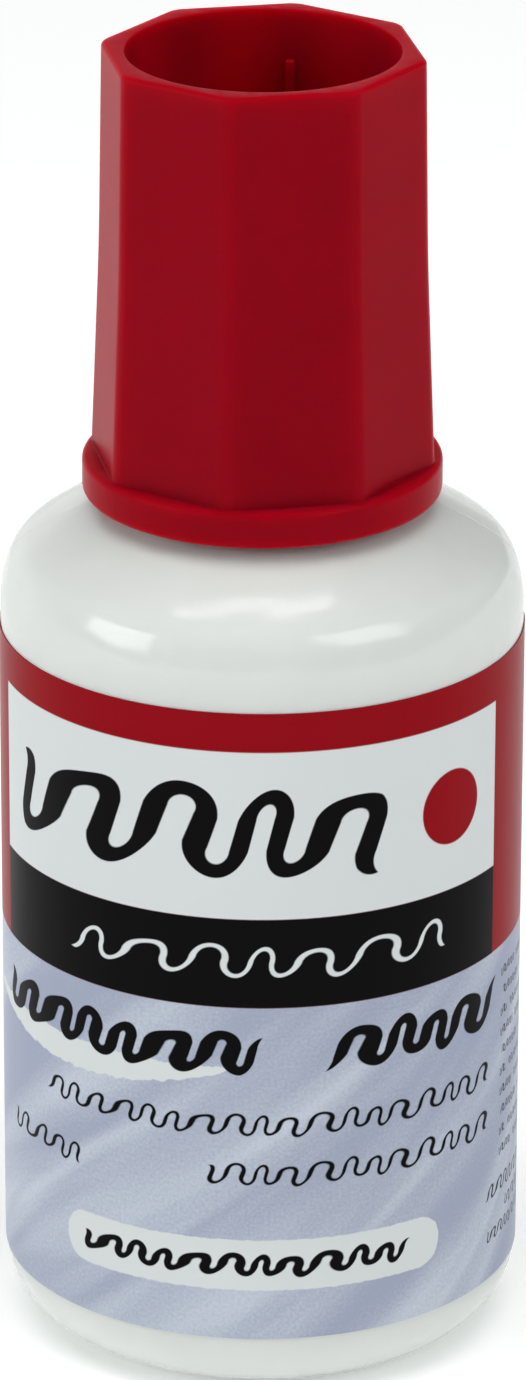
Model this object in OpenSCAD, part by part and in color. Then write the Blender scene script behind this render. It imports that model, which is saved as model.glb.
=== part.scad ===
// Correction fluid bottle, 20 ml, with a screw-on brush cap.
// Millimetres. The base stands on z = 0, Z is the bottle's axis and the label's front faces -Y.

/* [Bottle] */
// Outer diameter of the bottle's straight side
bottle_d = 32; // [28:0.5:40]
// Height of the straight side, up to where the shoulder starts to turn in
side_h = 46.9; // [40:0.5:60]
// Thickness of the blown wall
bottle_wall = 1.0; // [0.8:0.1:1.4]
// Radius of the rounded heel
heel_r = 4.7; // [3:0.1:6]
// Radius of the slow curve at the start of the shoulder
shoulder_r = 8.2; // [6:0.1:9]
// Radius of the tighter curve at the shoulder's edge
edge_r = 3.0; // [2:0.1:4]
// Radius of the flat dome that runs up to the neck
dome_r = 27; // [24:0.5:34]
// Diameter of the concave push-up in the base
push_d = 19; // [14:0.5:21]
// Height of the push-up at its middle
push_h = 1.2; // [0.8:0.1:2]
// Length of the pinch-off weld across the push-up
pinch_l = 12; // [8:0.5:13]
// Width of the weld
pinch_w = 0.8; // [0.5:0.1:1.2]
// How far the weld stands out from the push-up
pinch_h = 0.3; // [0.2:0.05:0.5]

/* [Neck and thread] */
// Diameter of the neck between its thread ridges
neck_d = 14.2; // [13.6:0.1:14.6]
// Thickness of the neck's wall
neck_wall = 1.5; // [1.2:0.1:2]
// Height of the neck's rim above the cap's lower edge
rim_h = 13; // [12:0.1:14]
// Rounding of the rim's two edges
rim_round = 0.4; // [0.2:0.1:0.6]
// Radius where the neck grows out of the dome
neck_fillet = 1; // [0.6:0.1:1.4]
// Climb of the thread in one turn
thread_pitch = 3; // [2.8:0.1:3.4]
// Turns of the ridge on the neck
neck_turns = 1.5; // [1.25:0.25:1.75]
// How far the ridge stands out from the neck
neck_ridge = 0.9; // [0.7:0.05:1]
// Distance from the rim down to the upper end of the neck's ridge
ridge_drop = 2.8; // [2.5:0.1:3.4]

/* [Cap] */
// Height of the whole cap
cap_h = 27.7; // [25:0.1:32]
// Height of the flange
flange_h = 2.3; // [1.8:0.1:3]
// How far the flange stands out from the grip's corners
flange_out = 0.36; // [0.2:0.02:1]
// Rounding of the flange's edges
flange_round = 0.4; // [0.2:0.05:0.6]
// Number of flat sides on the grip
grip_sides = 8; // [6:1:12]
// Thickness of the socket's wall at the middle of a flat, by its ceiling
grip_wall = 1.15; // [0.9:0.05:1.6]
// How far a flat leans in from the floor of the cup to the top
grip_in = 0.185; // [0.1:0.005:0.4]
// How far a flat leans out from the floor of the cup to the flange
grip_out = 0.485; // [0.2:0.005:0.8]
// Height over which the change of lean is eased, on each side of it
grip_ease = 2.5; // [1:0.5:4]
// Rounding of the grip's upright corners
grip_round = 1.3; // [0.8:0.1:1.6]
// Rounding of the grip's top edge
lip_round = 0.3; // [0.2:0.05:0.4]
// Angle from the front to the nearest corner, as the cap sits when tight
grip_turn = -11.6; // [-22:0.1:22]
// Thickness of the cup's wall at the middle of a flat, at the rim
cup_wall = 0.94; // [0.8:0.02:1.2]
// Draft of the cup's wall, in degrees
cup_draft = 0.5; // [0.2:0.1:1]
// Rounding where the cup's wall meets its floor
cup_corner = 0.8; // [0.4:0.1:1.2]
// Thickness of the floor between the cup and the threaded socket
floor_t = 1.2; // [1:0.1:2]
// Number of slim ribs on the cup's wall
rib_count = 4; // [2:1:8]
// Width of a rib
rib_w = 0.55; // [0.4:0.05:0.8]
// How far a rib stands out from the cup's wall, at the floor
rib_out = 0.4; // [0.2:0.05:0.6]
// Distance from the cap's top down to the ribs
rib_drop = 3.1; // [2:0.1:5]
// Turns of the ridge in the socket
socket_turns = 1.25; // [1:0.25:1.5]
// How much wider the socket's mouth is on each side
mouth_step = 1.05; // [0.6:0.05:1.2]
// Height of the mouth
mouth_h = 1.6; // [1.2:0.1:2]

/* [Brush] */
// Diameter of the stem's shank, inside the hub
shank_d = 3.4; // [3:0.1:3.8]
// Thickness of the hub's wall round the shank
hub_wall = 1.25; // [0.8:0.05:1.5]
// Length of the hub
hub_l = 5.6; // [4:0.1:7]
// How far the collar under the hub stands out from the shank
collar_out = 0.8; // [0.5:0.05:1.1]
// Thickness of the collar
collar_t = 1.2; // [0.8:0.1:1.6]
// How much thinner the stem's rod is than its shank, on each side
rod_in = 0.2; // [0.1:0.05:0.3]
// Thickness of the stem's wall round the tuft
holder_wall = 0.8; // [0.7:0.05:1]
// Length of the stem's thicker end, which holds the tuft
holder_l = 6; // [5:0.1:8]
// Length of the taper from the rod to the thicker end
taper_l = 1.2; // [0.6:0.1:2]
// Chamfer of the stem's edges
stem_chamfer = 0.3; // [0.2:0.05:0.4]
// Diameter of the tuft in its hole
tuft_d = 2.2; // [1.8:0.1:2.4]
// Depth of the tuft's hole
tuft_hole = 3.6; // [3:0.1:4]
// How far the tuft swells beyond its hole, on each side
tuft_swell = 0.8; // [0.4:0.1:1.1]
// Length of the tuft outside its hole
tuft_l = 11.5; // [9:0.5:14]
// Distance from the tuft's tip to the bottle's inner floor
tip_gap = 4.3; // [3:0.1:6]
// Thickness of the metal anchor
anchor_t = 0.3; // [0.2:0.05:0.4]
// Height of the anchor
anchor_h = 1.4; // [1:0.1:2]
// How far the anchor bites into the stem on each side
anchor_bite = 0.3; // [0.2:0.05:0.4]

/* [Label, liner and fill] */
// Thickness of the label
label_t = 0.08; // [0.06:0.01:0.15]
// Height of the label's lower edge
label_z = 4.6; // [3:0.1:6]
// Distance from the upper end of the straight side down to the label
label_drop = 1; // [0.5:0.1:6]
// Bare strip between the label's ends at the back
label_seam = 0.8; // [0.4:0.1:3]
// Thickness of the sealing ring
liner_t = 1; // [0.8:0.1:1.4]
// How far the sealing ring reaches inside the neck's bore
liner_reach = 1; // [0.5:0.1:1.2]
// Height of the fluid's surface above the base
fill_h = 31; // [26:0.5:36]
// Diameter of the mixing ball
ball_d = 5; // [4:0.5:5.5]
// Direction in which the ball has rolled, in degrees
ball_turn = 215; // [0:5:355]

/* [Clearances] */
// Gap between the cap's lower edge and the shoulder, at the mouth
shoulder_gap = 0.4; // [0.3:0.05:1]
// Radial gap between the crest of one ridge and the wall that carries the other
crest_gap = 0.25; // [0.2:0.05:0.35]
// Radial clearance of the shank in the hub
hub_fit = 0.05; // [0.03:0.01:0.1]
// Gap at pieces that only lie against each other
seat_gap = 0.02; // [0.01:0.01:0.05]
// Gap between the mating flanks of the thread
flank_gap = 0.3; // [0.25:0.05:0.4]
// Gap between the stem's shank and the cap's floor
shank_gap = 0.2; // [0.1:0.05:0.4]
// Gap between the sealing ring and the crest of the socket's ridge
liner_fit = 0.15; // [0.1:0.05:0.3]
// Gap that the fluid leaves round the brush and the ball
well_gap = 0.3; // [0.2:0.05:0.6]

/* [Hidden] */
$fn = 96;
// Overlap of pieces that are joined
eps = 0.01;
// Turn at which the shoulder's first curve ends, and at which its second ends
shoulder_turn = 20;
edge_turn = 55;
// Depth that a ridge's root lies in the wall that carries it
root_sink = 0.35;
// Share of a ridge's root width that is left at its crest
crest_share = 0.5;
// Width of the neck's ridge and of the socket's ridge at the root, inside the wall
neck_ridge_w = 0.42 * thread_pitch;
socket_ridge_w = 0.38 * thread_pitch;
// Arcs in one turn of a ridge, how many degrees they overlap, and over how many of them its ends fade out
ridge_steps = 24;
ridge_lap = 5;
ridge_fade = 3;

bottle_r = bottle_d / 2;
neck_r = neck_d / 2;
bore_r = neck_r - neck_wall;
socket_r = neck_r + neck_ridge + crest_gap;
socket_ridge = neck_ridge;
mouth_r = socket_r + mouth_step;

// Distance from the axis to a flat of the grip, at its change of lean, at the top and at the flange
mid_flat = socket_r + grip_wall;
top_flat = mid_flat - grip_in;
foot_flat = mid_flat + grip_out;
// Distance from the axis to a rounded corner between flats
half_side = 180 / grip_sides;
function corner_at(flat) = (flat - grip_round) / cos(half_side) + grip_round;
flange_r = corner_at(foot_flat) + flange_out;

shank_r = shank_d / 2;
hub_r = shank_r + hub_fit + hub_wall;
rod_r = shank_r - rod_in;
tuft_r = tuft_d / 2;
holder_r = tuft_r + holder_wall;
belly_r = tuft_r + tuft_swell;

// Centres of the three curves of the shoulder, each tangent to the last
shoulder_c = [bottle_r - shoulder_r, side_h];
edge_c = shoulder_c + (shoulder_r - edge_r) * [cos(shoulder_turn), sin(shoulder_turn)];
dome_c = edge_c + (edge_r - dome_r) * [cos(edge_turn), sin(edge_turn)];

// Centre of a fillet of radius f that is tangent to the dome and to an upright wall at x
function dome_fillet(x, f, r) = [x + f, dome_c.y + sqrt((r + f) ^ 2 - (x + f - dome_c.x) ^ 2)];
// Direction from the dome's centre to a point
function dome_angle(p) = atan2(p.y - dome_c.y, p.x - dome_c.x);
// Height of the dome at a radius
function dome_z(r) = dome_c.y + sqrt(dome_r ^ 2 - (r - dome_c.x) ^ 2);

neck_c = dome_fillet(neck_r, neck_fillet, dome_r);
bore_c = dome_fillet(bore_r, neck_fillet, dome_r - bottle_wall);

// Radius and centre of the push-up's curve
push_r = push_d / 2;
push_arc = (push_r ^ 2 + push_h ^ 2) / (2 * push_h);
push_c = [0, push_h - push_arc];

cap_z = dome_z(mouth_r) + shoulder_gap;
rim_z = cap_z + rim_h;
ceiling_z = rim_z + liner_t;
floor_z = ceiling_z + floor_t;
top_z = cap_z + cap_h;
foot_z = cap_z + flange_h;

cup_r = top_flat - cup_wall;
cup_foot_r = cup_r - (top_z - floor_z) * tan(cup_draft);

ridge_top_z = rim_z - ridge_drop;
ridge_start_z = ridge_top_z - neck_turns * thread_pitch;
// Half a ridge's width at a distance from its root, for a ridge that stands out by depth
function half_w(w, depth, out) = w / 2 * (1 - (1 - crest_share) * out / (root_sink + depth));
// Drop from the neck's ridge to the socket's ridge, whose upper flank comes up against it
flank_drop = half_w(neck_ridge_w, neck_ridge, root_sink + neck_ridge)
    + half_w(socket_ridge_w, socket_ridge, root_sink + crest_gap) + flank_gap;

hub_z = ceiling_z - hub_l;
tip_z = push_h + bottle_wall + tip_gap;
holder_z = tip_z + tuft_l;
hole_z = holder_z + tuft_hole;
anchor_z = hole_z - anchor_h - 2 * seat_gap;

// Middle of the level ring on the bottle's inner floor, where the ball lies
inner_push = sqrt((push_arc + bottle_wall) ^ 2 - (bottle_wall - push_c.y) ^ 2);
ball_at = (inner_push + bottle_r - heel_r) / 2;

// Points of an arc about c from angle a to angle b
function arc(c, r, a, b, n = 8) = [for (i = [0 : n]) let (t = a + (b - a) * i / n) c + r * [cos(t), sin(t)]];

// Part of the push-up's curve, raised by a wall and cut off level at height z
function push_curve(wall, z, rising) =
    let (r = push_arc + wall, a = asin((z - push_c.y) / r))
    rising ? arc(push_c, r, a, 90) : arc(push_c, r, 90, a);

// Shoulder and side from the dome down to the heel, set in by a wall
function side_down(wall, a) = concat(
    arc(dome_c, dome_r - wall, a, edge_turn),
    arc(edge_c, edge_r - wall, edge_turn, shoulder_turn),
    arc(shoulder_c, shoulder_r - wall, shoulder_turn, 0),
    heel_down(wall));

function heel_down(wall) = arc([bottle_r - heel_r, heel_r], heel_r - wall, 0, -90);

function reversed(list) = [for (i = [len(list) - 1 : -1 : 0]) list[i]];

bottle_outside = concat(
    push_curve(0, 0, false),
    reversed(side_down(0, dome_angle(neck_c))),
    arc(neck_c, neck_fillet, dome_angle(neck_c) + 180, 180),
    arc([neck_r - rim_round, rim_z - rim_round], rim_round, 0, 90, 4));

bottle_inside = concat(
    arc([bore_r + rim_round, rim_z - rim_round], rim_round, 90, 180, 4),
    arc(bore_c, neck_fillet, 180, dome_angle(bore_c) + 180),
    side_down(bottle_wall, dome_angle(bore_c)),
    push_curve(bottle_wall, bottle_wall, true));

// Helical ridge on a wall of radius r, made of short arcs that climb with the pitch and overlap a little.
// It stands out by depth, inwards where depth is negative, and fades out at both ends.
module ridge(r, depth, w, turns, z) {
    step = 360 / ridge_steps;
    last = round(turns * ridge_steps) - 1;
    root = r - sign(depth) * root_sink;
    for (i = [0 : last]) {
        crest = r + depth * min(1, (min(i, last - i) + 1) / ridge_fade);
        rotate(step * i)
            translate([0, 0, z + thread_pitch * i / ridge_steps])
                rotate_extrude(angle = step + ridge_lap)
                    polygon([
                        [root, -w / 2],
                        [crest, -w * crest_share / 2],
                        [crest, w * crest_share / 2],
                        [root, w / 2]]);
    }
}

// Distance from the axis to a flat at height z, with the change of lean eased
function flat_at(z) =
    let (up = grip_in / (top_z - floor_z),
         down = grip_out / (floor_z - foot_z),
         h = floor_z - z,
         bend = h > grip_ease ? h : h < -grip_ease ? 0 : (h + grip_ease) ^ 2 / (4 * grip_ease))
    mid_flat + up * h + (down - up) * bend;

// Outline of the grip at height z, set in by an amount, as points that run round the axis
function grip_ring(z, inset = 0) =
    let (r = grip_round - inset, n = 4, c = corner_at(flat_at(z)) - grip_round)
    [for (k = [0 : grip_sides - 1], i = [0 : n])
        let (a = grip_turn - 90 + 360 * k / grip_sides, t = a + half_side * (2 * i / n - 1))
        [c * cos(a) + r * cos(t), c * sin(a) + r * sin(t), z]];

// Eight-sided grip, lofted through its outlines from inside the flange to the rounded top edge
module grip() {
    heights = [for (i = [0 : 10]) cap_z + flange_h / 2 + (top_z - lip_round - cap_z - flange_h / 2) * i / 10];
    lip = [for (i = [1 : 3]) let (t = 30 * i) [top_z - lip_round * (1 - sin(t)), lip_round * (1 - cos(t))]];
    rings = concat([for (z = heights) grip_ring(z)], [for (p = lip) grip_ring(p.x, p.y)]);
    n = len(rings[0]);
    last = (len(rings) - 1) * n;
    sides = [for (i = [0 : len(rings) - 2], j = [0 : n - 1])
        let (a = i * n + j, b = i * n + (j + 1) % n)
        each [[a, a + n, b + n], [a, b + n, b]]];
    ends = [[for (j = [0 : n - 1]) j], [for (j = [n - 1 : -1 : 0]) last + j]];
    polyhedron([for (r = rings) each r], concat(sides, ends), convexity = 4);
}

module flange() {
    c = flange_r - flange_round;
    rotate_extrude()
        polygon(concat(
            [[0, cap_z]],
            arc([c, cap_z + flange_round], flange_round, -90, 0, 4),
            arc([c, foot_z - flange_round], flange_round, 0, 90, 4),
            [[0, foot_z]]));
}

// Space of the open cup, with a rounded corner at the floor
module cup_space() {
    lip = cup_r + lip_round;
    rotate_extrude()
        polygon(concat(
            [[0, floor_z]],
            arc([cup_foot_r - cup_corner, floor_z + cup_corner], cup_corner, -90, 0, 4),
            arc([lip, top_z - lip_round], lip_round, 180, 90, 3),
            [[lip, top_z + 1], [0, top_z + 1]]));
}

// Space of the socket below the floor, with its wider mouth
module socket_space() {
    rotate_extrude()
        polygon([
            [0, cap_z - 1],
            [mouth_r, cap_z - 1],
            [mouth_r, cap_z + mouth_h],
            [socket_r, cap_z + mouth_h + mouth_step],
            [socket_r, ceiling_z],
            [0, ceiling_z]]);
}

module cup_ribs() {
    for (k = [0 : rib_count - 1])
        rotate(grip_turn - 90 + 360 * k / rib_count)
            translate([cup_foot_r - rib_out, -rib_w / 2, floor_z - eps])
                cube([rib_out + cup_wall / 2, rib_w, top_z - rib_drop - floor_z + eps]);
}

module hub() {
    translate([0, 0, hub_z])
        difference() {
            cylinder(h = hub_l + eps, r = hub_r);
            translate([0, 0, -1]) cylinder(h = hub_l + 1, r = shank_r + hub_fit);
        }
}

module bottle() {
    color("#eef0ec")
        union() {
            rotate_extrude() polygon(concat(bottle_outside, bottle_inside));
            ridge(neck_r, neck_ridge, neck_ridge_w, neck_turns, ridge_start_z);
            pinch_weld();
        }
}

// Weld left across the push-up where the mould pinched the tube shut
module pinch_weld() {
    intersection() {
        rotate_extrude()
            polygon(concat(
                arc(push_c, push_arc - pinch_h, 90, 45),
                arc(push_c, push_arc + bottle_wall / 2, 45, 90)));
        translate([-pinch_l / 2, -pinch_w / 2, -pinch_h]) cube([pinch_l, pinch_w, push_h + bottle_wall]);
    }
}

module label() {
    gap = asin(label_seam / bottle_d) * 2;
    color("#c9cfe0")
        translate([0, 0, label_z])
            rotate_extrude(angle = 360 - gap, start = 90 + gap / 2)
                translate([bottle_r, 0]) square([label_t, side_h - label_drop - label_z]);
}

module correction_fluid() {
    gap = bottle_wall + seat_gap;
    color("white")
        difference() {
            rotate_extrude()
                polygon(concat(
                    [[0, fill_h], [bottle_r - gap, fill_h]],
                    heel_down(gap),
                    push_curve(gap, gap, true)));
            translate([0, 0, tip_z - well_gap])
                cylinder(h = fill_h, r = max(belly_r, holder_r) + well_gap);
            ball_place() sphere(d = ball_d + 2 * well_gap);
        }
}

module ball_place() {
    rotate(ball_turn) translate([ball_at, 0, bottle_wall + ball_d / 2 + 2 * seat_gap]) children();
}

module mixing_ball() {
    color("silver") ball_place() sphere(d = ball_d);
}

module seal_liner() {
    color("#f4f4f0")
        translate([0, 0, rim_z])
            difference() {
                cylinder(h = liner_t, r = socket_r - socket_ridge - liner_fit);
                translate([0, 0, -1]) cylinder(h = liner_t + 2, r = bore_r - liner_reach);
            }
}

// Stem, turned about Z from the holder of the tuft up to its shank in the hub
module brush_stem() {
    collar_r = shank_r + collar_out;
    collar_top = hub_z - seat_gap;
    collar_foot = collar_top - collar_t;
    shank_top = ceiling_z - shank_gap;
    color("#f2f2ee")
        difference() {
            rotate_extrude()
                polygon([
                    [0, holder_z],
                    [holder_r - stem_chamfer, holder_z],
                    [holder_r, holder_z + stem_chamfer],
                    [holder_r, holder_z + holder_l],
                    [rod_r, holder_z + holder_l + taper_l],
                    [rod_r, collar_foot - stem_chamfer],
                    [collar_r, collar_foot],
                    [collar_r, collar_top],
                    [shank_r, collar_top],
                    [shank_r, shank_top - stem_chamfer],
                    [shank_r - stem_chamfer, shank_top],
                    [0, shank_top]]);
            translate([0, 0, holder_z - 1]) cylinder(h = tuft_hole + 1, r = tuft_r + seat_gap);
            anchor(seat_gap);
        }
}

// Flat metal anchor that lies across the top of the tuft's hole
module anchor(grow = 0) {
    w = tuft_d + 2 * anchor_bite;
    translate([-w / 2 - grow, -anchor_t / 2 - grow, anchor_z - grow])
        cube([w + 2 * grow, anchor_t + 2 * grow, anchor_h + 2 * grow]);
}

module brush_staple() {
    color("#c9a94f") anchor();
}

// Tuft: a root in the stem's hole, a belly and a rounded tip
module brush_bristles() {
    belly_z = tip_z + tuft_l * 0.45;
    color("#e9e4d4")
        difference() {
            rotate_extrude()
                polygon(concat(
                    [for (i = [0 : 6]) let (t = 15 * i) [belly_r * sin(t), belly_z - (belly_z - tip_z) * cos(t)]],
                    [[tuft_r, holder_z - seat_gap], [tuft_r, hole_z - seat_gap], [0, hole_z - seat_gap]]));
            anchor(seat_gap);
        }
}

module cap() {
    color("#b01525")
        union() {
            difference() {
                union() {
                    grip();
                    flange();
                }
                cup_space();
                socket_space();
            }
            cup_ribs();
            hub();
            ridge(socket_r, -socket_ridge, socket_ridge_w, socket_turns, ridge_start_z - flank_drop);
        }
}

bottle();
label();
correction_fluid();
mixing_ball();
seal_liner();
brush_stem();
brush_staple();
brush_bristles();
cap();
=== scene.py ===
import math

import bmesh
import bpy
from mathutils import Matrix, Vector


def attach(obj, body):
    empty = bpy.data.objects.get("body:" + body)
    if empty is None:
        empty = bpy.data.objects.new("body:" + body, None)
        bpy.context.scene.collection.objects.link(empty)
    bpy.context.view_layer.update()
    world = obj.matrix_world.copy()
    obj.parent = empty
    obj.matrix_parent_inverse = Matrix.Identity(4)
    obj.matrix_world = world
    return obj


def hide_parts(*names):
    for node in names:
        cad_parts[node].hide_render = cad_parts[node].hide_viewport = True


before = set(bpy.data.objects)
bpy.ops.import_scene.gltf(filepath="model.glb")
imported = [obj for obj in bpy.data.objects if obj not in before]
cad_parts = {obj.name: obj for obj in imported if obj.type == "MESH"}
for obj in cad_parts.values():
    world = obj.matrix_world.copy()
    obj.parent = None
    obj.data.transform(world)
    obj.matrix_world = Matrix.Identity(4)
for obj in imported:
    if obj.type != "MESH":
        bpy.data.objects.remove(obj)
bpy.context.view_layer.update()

# Camera, as the photograph was taken: a long lens about half a metre away that looks down on the
# bottle by 22 degrees. It stands a little to the right of the axis and leans by a seventh of a degree.
camera_place = (0.00007, -0.4505, 0.2228)
camera_tilt, camera_lean = math.radians(22.031), math.radians(0.138)
bpy.ops.object.camera_add(location=camera_place)
camera = bpy.context.object
camera.name = "camera"
camera.matrix_world = (
    Matrix.Translation(camera.location)
    @ Matrix.Rotation(math.pi / 2 - camera_tilt, 4, "X")
    @ Matrix.Rotation(camera_lean, 4, "Z")
)
camera.data.sensor_width = 36
camera.data.lens = 206.4
camera.data.shift_y = 0.00525
camera.data.clip_start, camera.data.clip_end = 0.02, 20
bpy.context.scene.camera = camera
bpy.context.scene.view_settings.view_transform = "Standard"


# Floor and light. The bottle stands on a white light table under a large panel, between a low softbox
# on the left and a taller one on the right, with pale walls behind and a darker room before it.
def linear(code):
    """Linear colour of an sRGB hex code."""
    parts = [int(code[i:i + 2], 16) / 255 for i in (1, 3, 5)]
    return [c / 12.92 if c <= 0.04045 else ((c + 0.055) / 1.055) ** 2.4 for c in parts] + [1.0]


def add(tree, kind, inputs=(), **settings):
    """Adds a node with its settings. An input is a value, or a node or socket that it is linked to."""
    node = tree.nodes.new(kind)
    for name, value in settings.items():
        setattr(node, name, value)
    pairs = inputs.items() if isinstance(inputs, dict) else enumerate(inputs)
    for name, value in pairs:
        if isinstance(value, bpy.types.Node):
            value = value.outputs[0]
        if isinstance(value, bpy.types.NodeSocket):
            tree.links.new(value, node.inputs[name])
        else:
            node.inputs[name].default_value = value
    return node


# A Mix node's colour sockets, which only have numbers to themselves: share, two colours and result
share_of, first, second, mixed = 0, 6, 7, 2


def new_finish(name):
    """An empty material, its node tree, and the piece's own coordinates to lay a pattern by."""
    finish = bpy.data.materials.new(name)
    finish.use_nodes = True
    finish.node_tree.nodes.clear()
    place = add(finish.node_tree, "ShaderNodeTexCoord").outputs["Object"]
    return finish, finish.node_tree, place


def lay_on(obj, finish, surface):
    """Ends a material with its shader, and gives the whole of a piece that material."""
    add(finish.node_tree, "ShaderNodeOutputMaterial", {"Surface": surface})
    obj.data.materials.clear()
    obj.data.materials.append(finish)
    obj.data.polygons.foreach_set("material_index", [0] * len(obj.data.polygons))


# Opal acrylic sheet, matt: white all through, with a little light let in from below that grows
# where the lamps above no longer reach, so the floor stays as pale up to the horizon
floor_sheet, tree, place = new_finish("opal_acrylic")
cloud = add(tree, "ShaderNodeTexNoise", {"Vector": place, "Scale": 12.0, "Detail": 2.0})
tone = add(tree, "ShaderNodeMix", {
    share_of: cloud, first: linear("#f3f4f4"), second: linear("#f7f7f7"),
}, data_type="RGBA")
from_bottle = add(tree, "ShaderNodeVectorMath", [place], operation="LENGTH").outputs["Value"]
lamp_below = add(tree, "ShaderNodeMapRange", {
    "Value": from_bottle, "From Min": 0.3, "From Max": 1.3, "To Min": 0.22, "To Max": 0.85,
}, interpolation_type="SMOOTHSTEP")
acrylic = add(tree, "ShaderNodeBsdfPrincipled", {
    "Base Color": tone.outputs[mixed],
    "Roughness": 0.9,
    "Emission Color": linear("#fdffff"),
    "Emission Strength": lamp_below,
})

# The sheet lies a hair under the bottle, so the two never share a plane
bpy.ops.object.select_all(action="DESELECT")
bpy.ops.mesh.primitive_plane_add(size=6, location=(0, 0, -0.00005))
floor = bpy.context.object
floor.name = "floor"
bpy.ops.object.transform_apply(location=True, rotation=True, scale=True)
lay_on(floor, floor_sheet, acrylic)

# The room: bright towards the pale walls behind and on the left, dark in front and above
world = bpy.data.worlds.new("studio")
bpy.context.scene.world = world
world.use_nodes = True
tree = world.node_tree
sight = add(tree, "ShaderNodeTexCoord").outputs["Generated"]
to_walls = (-0.5, 0.87, -0.8)
behind = add(tree, "ShaderNodeVectorMath", [sight, to_walls], operation="DOT_PRODUCT")
pale_wall = add(tree, "ShaderNodeMapRange", {
    "Value": behind.outputs["Value"],
    "From Min": 0.35, "From Max": 0.95, "To Min": 0.13, "To Max": 1.15,
}, interpolation_type="SMOOTHSTEP")
room = tree.nodes["Background"]
room.inputs["Color"].default_value = linear("#f2f5f5")
tree.links.new(pale_wall.outputs[0], room.inputs["Strength"])

# Softboxes: azimuth from the front and elevation in degrees, distance, width and height in metres,
# and watts. They are aimed at a point on the bottle, and only the panel doesn't show in the gloss.
softboxes = {
    "softbox_left": (-67, 19, 0.75, 0.46, 0.32, 1.9),
    "softbox_right": (51, 30, 0.8, 0.44, 0.42, 1.8),
    "strip_top": (180, 87, 0.8, 0.50, 0.014, 0.42),
    "panel_top": (0, 80, 1.3, 1.4, 1.0, 13.5),
}
lit_point = Vector((0, 0, 0.05))
for name, (azimuth, elevation, reach, box_width, box_height, watts) in softboxes.items():
    swing, lift = math.radians(azimuth), math.radians(elevation)
    outward = math.cos(lift)
    away = Vector((math.sin(swing) * outward, -math.cos(swing) * outward, math.sin(lift)))
    bpy.ops.object.light_add(type="AREA", location=away * reach + lit_point)
    softbox = bpy.context.object
    softbox.name = name
    softbox.rotation_euler = away.to_track_quat("Z", "Y").to_euler()
    softbox.data.shape = "RECTANGLE"
    softbox.data.size, softbox.data.size_y = box_width, box_height
    softbox.data.energy = watts
    softbox.visible_camera = False
    softbox.visible_glossy = name != "panel_top"


# Bottle, 20 ml, blow-moulded from white polyethylene: heel, straight side, low domed shoulder and
# threaded neck, with a parting line up both sides and the pinched weld across the push-up below.
def arc(centre_r, centre_z, radius, start, end, count):
    """Points (r, z) in mm along an arc, between two angles in degrees."""
    turns = [math.radians(start + (end - start) * i / count) for i in range(count + 1)]
    return [(centre_r + radius * math.cos(t), centre_z + radius * math.sin(t)) for t in turns]


def finish_shape(obj, angle=32):
    """Merges doubles, turns the faces outwards and smooths all edges that are less sharp than angle."""
    bpy.ops.object.mode_set(mode="EDIT")
    bpy.ops.mesh.select_all(action="SELECT")
    bpy.ops.mesh.remove_doubles(threshold=0.000002)
    bpy.ops.mesh.normals_make_consistent(inside=False)
    bpy.ops.object.mode_set(mode="OBJECT")
    bpy.ops.object.shade_smooth_by_angle(angle=math.radians(angle))
    return obj


def turned(name, outline, steps):
    """Spins an outline of (r, z) points in mm about the bottle's axis into a closed shape."""
    bpy.ops.object.select_all(action="DESELECT")
    bpy.ops.mesh.primitive_plane_add(size=0.001)
    obj = bpy.context.object
    obj.name = obj.data.name = name
    bpy.ops.object.mode_set(mode="EDIT")
    bpy.ops.mesh.merge(type="CENTER")
    last = (0.0, 0.0)
    for i, (r, z) in enumerate(outline):
        step = ((r - last[0]) / 1000, 0, (z - last[1]) / 1000)
        if i == 0:
            bpy.ops.transform.translate(value=step)
        else:
            bpy.ops.mesh.extrude_vertices_move(TRANSFORM_OT_translate={"value": step})
        last = (r, z)
    bpy.ops.mesh.select_all(action="SELECT")
    bpy.ops.mesh.spin(steps=steps, angle=2 * math.pi, center=(0, 0, 0), axis=(0, 0, 1))
    bpy.ops.object.mode_set(mode="OBJECT")
    return finish_shape(obj)


def combine(obj, addition):
    """Joins another shape to a shape, as one skin."""
    boolean = obj.modifiers.new("boolean", "BOOLEAN")
    boolean.operation = "UNION"
    boolean.solver = "EXACT"
    boolean.object = addition
    bpy.ops.object.select_all(action="DESELECT")
    bpy.context.view_layer.objects.active = obj
    obj.select_set(True)
    bpy.ops.object.modifier_apply(modifier="boolean")
    bpy.data.objects.remove(addition)


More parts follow.
